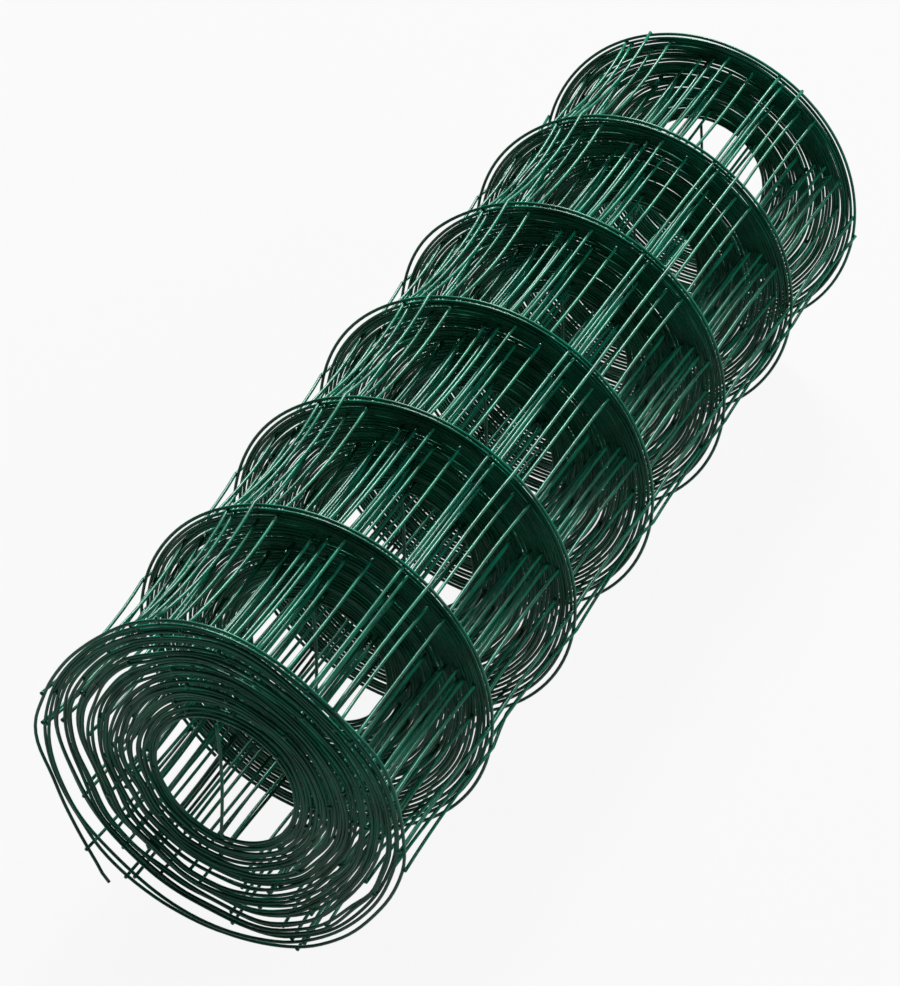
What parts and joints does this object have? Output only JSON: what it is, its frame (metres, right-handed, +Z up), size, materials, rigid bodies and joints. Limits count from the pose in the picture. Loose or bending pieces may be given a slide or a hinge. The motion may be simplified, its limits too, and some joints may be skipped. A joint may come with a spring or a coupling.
{
  "type": "roll of wire fencing",
  "caption": "Roll of green coated welded wire mesh lying on its side, wound as an open spiral round an empty bore, for fencing and plant support.",
  "frame": {"origin": "on the floor, under the middle of the roll", "axes": "+Y along the roll from the near end to the far end, +Z up, +X to the right seen from the near end"},
  "size_m": [0.2043, 0.6114, 0.2018],
  "materials": {
    "green_coated_wire": "satin dark green plastic coat on steel wire"
  },
  "bodies": {
    "root": {"mesh_roll": "green_coated_wire"}
  },
  "joints": []
}
